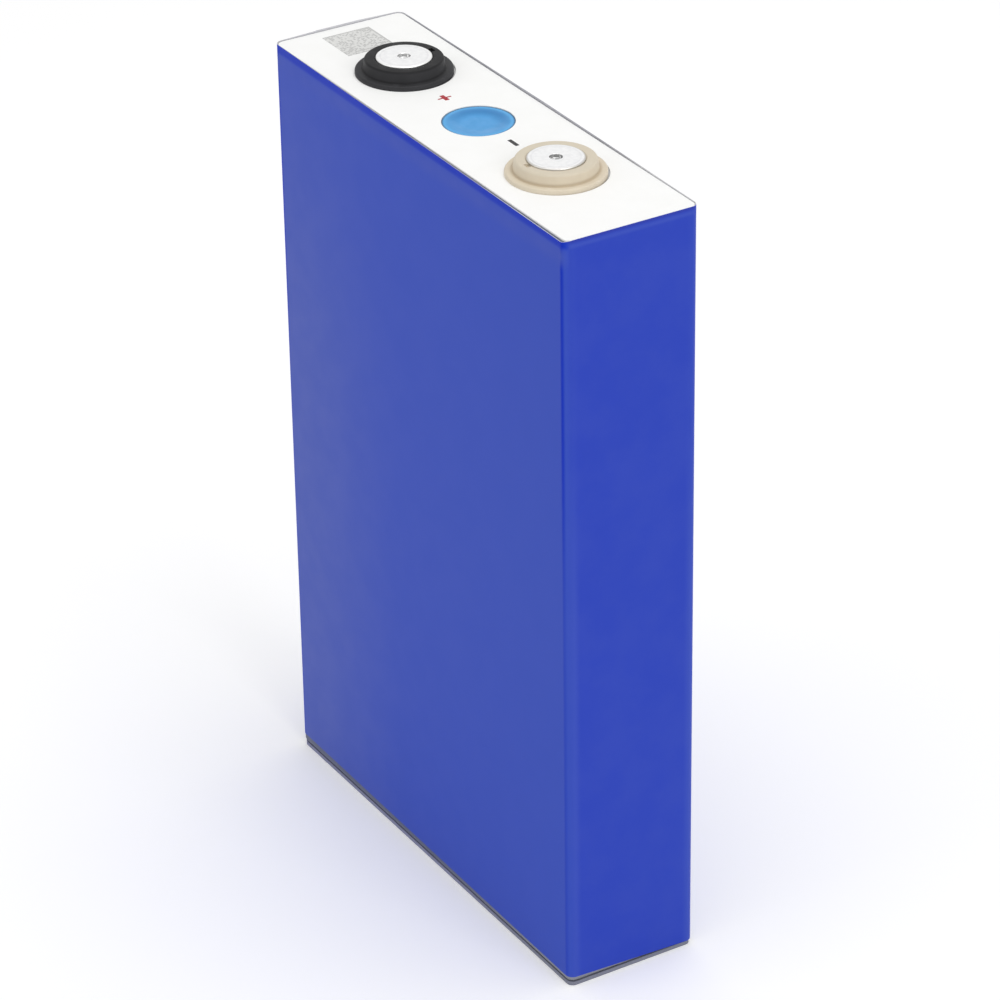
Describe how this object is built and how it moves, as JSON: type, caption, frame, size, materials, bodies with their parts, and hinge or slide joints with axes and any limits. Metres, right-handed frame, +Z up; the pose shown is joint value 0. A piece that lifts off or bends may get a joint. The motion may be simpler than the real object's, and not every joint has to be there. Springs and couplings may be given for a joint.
{
  "type": "prismatic battery cell",
  "caption": "Flat upright rectangular battery cell in a blue film sleeve, with collared round terminals and a round vent in its white top; stores and delivers direct current.",
  "frame": {"origin": "centre of the base, on the surface that the cell stands on", "axes": "+X along the wide face towards the negative terminal, +Y from the front wide face to the back one, +Z up, out of the terminal faces"},
  "size_m": [0.1302, 0.035, 0.2],
  "materials": {
    "blue_film": "satin polyester film",
    "white_sheet": "matt printed sheet",
    "base_insulation": "matt fibre sheet",
    "can_metal": "drawn, dull",
    "cover_metal": "stamped, satin",
    "terminal_metal": "turned, satin",
    "black_collar": "moulded, satin",
    "beige_collar": "moulded, satin",
    "vent_cover": "thin soft film",
    "seal_rubber": "matt",
    "copper": "rolled copper",
    "aluminium_foil": "foil stack",
    "electrode_roll": "wound foil and separator",
    "tape": "adhesive tape",
    "bag_film": "thin clear film",
    "tray_plastic": "moulded, matt"
  },
  "bodies": {
    "root": {"base_sheet": "base_insulation", "can": "can_metal", "wrap_film": "blue_film", "cover_plate": "cover_metal", "top_sheet": "white_sheet", "vent_disc": "cover_metal", "vent_film": "vent_cover", "fill_plug": "seal_rubber", "fill_cap": "cover_metal", "positive_terminal": "terminal_metal", "negative_terminal": "terminal_metal", "positive_post": "terminal_metal", "negative_post": "copper", "positive_collar": "black_collar", "negative_collar": "beige_collar", "positive_seal": "seal_rubber", "negative_seal": "seal_rubber", "positive_lower_insulator": "black_collar", "negative_lower_insulator": "beige_collar", "positive_collector": "cover_metal", "negative_collector": "copper", "roll_front": "electrode_roll", "roll_back": "electrode_roll", "positive_tabs_front": "aluminium_foil", "positive_tabs_back": "aluminium_foil", "negative_tabs_front": "copper", "negative_tabs_back": "copper", "roll_tapes": "tape", "inner_bag": "bag_film", "base_tray": "tray_plastic"}
  },
  "joints": []
}
